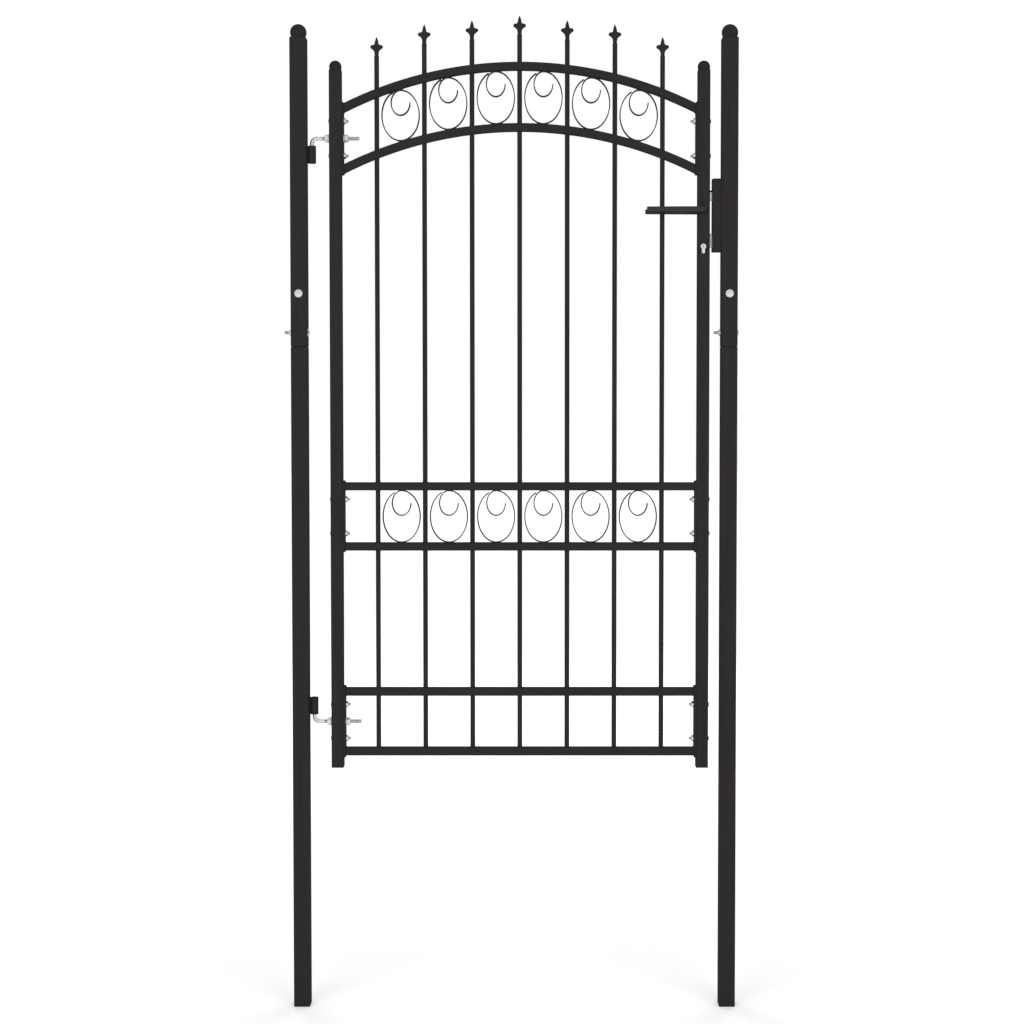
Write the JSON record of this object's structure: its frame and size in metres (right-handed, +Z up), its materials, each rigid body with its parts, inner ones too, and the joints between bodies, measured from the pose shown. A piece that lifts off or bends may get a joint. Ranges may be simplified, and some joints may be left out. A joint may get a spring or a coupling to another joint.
{
  "type": "steel swing gate",
  "caption": "Arched steel garden gate with spear-topped pickets and strip scrolls, a lever lock, and two jointed square posts with ball caps.",
  "frame": {"origin": "the centre of the hinge post's open foot, on the foot's end face", "axes": "+Z up along the posts, +X from the hinge post to the latch post, -Y towards the front of the gate"},
  "size_m": [1.1274, 0.076, 2.467],
  "materials": {
    "frame_black": "satin black powder coat",
    "handle_black": "satin dark grey powder coat",
    "cap_black": "satin black",
    "zinc_plate": "bright zinc plate",
    "plain_steel": "satin"
  },
  "bodies": {
    "posts": {"hinge_post_lower": "frame_black", "hinge_post_upper": "frame_black", "latch_post_lower": "frame_black", "latch_post_upper": "frame_black", "post_sleeves": "frame_black", "post_caps": "cap_black", "post_bolts": "zinc_plate", "upper_hinge_barrel": "frame_black", "lower_hinge_barrel": "frame_black", "latch_keep": "frame_black"},
    "leaf": {"hinge_stile": "frame_black", "latch_stile": "frame_black", "stile_caps": "cap_black", "top_arch_rail": "frame_black", "lower_arch_rail": "frame_black", "middle_upper_rail": "frame_black", "middle_lower_rail": "frame_black", "bottom_upper_rail": "frame_black", "bottom_lower_rail": "frame_black", "picket_1": "frame_black", "picket_2": "frame_black", "picket_3": "frame_black", "picket_4": "frame_black", "picket_5": "frame_black", "picket_6": "frame_black", "picket_7": "frame_black", "spear_points": "frame_black", "arch_scrolls": "frame_black", "middle_scrolls": "frame_black", "arch_end_plates": "frame_black", "middle_end_plates": "frame_black", "bottom_end_plates": "frame_black", "plate_bolts": "zinc_plate", "upper_hinge_rod": "zinc_plate", "lower_hinge_rod": "zinc_plate", "hinge_rod_nuts": "zinc_plate", "lock_case": "plain_steel", "key_cylinder": "zinc_plate"},
    "handle": {"front_lever": "handle_black", "rear_lever": "handle_black", "lever_spindle": "plain_steel"},
    "latch": {"latch_bolt": "plain_steel", "latch_glide": "cap_black"},
    "deadlock": {"dead_bolt": "plain_steel"}
  },
  "joints": [
    {"name": "leaf_swing", "type": "hinge", "parent": "posts", "child": "leaf", "pos_m": [0.0325, 0, 1.4], "axis": [0, 0, 1], "range_deg": [-90, 90]},
    {"name": "handle_turn", "type": "hinge", "parent": "leaf", "child": "handle", "pos_m": [0.999, 0, 1.989], "axis": [0, -1, 0], "range_deg": [0, 40], "stiffness_Nm_per_rad": 2, "springref_deg": -20.05},
    {"name": "latch_slide", "type": "slide", "parent": "leaf", "child": "latch", "axis": [-1, 0, 0], "range_m": [0, 0.016]},
    {"name": "dead_slide", "type": "slide", "parent": "leaf", "child": "deadlock", "axis": [-1, 0, 0], "range_m": [0, 0.016]}
  ],
  "couplings": [
    {"joint": "latch_slide", "follows": "handle_turn", "m_per_rad": 0.0229}
  ]
}
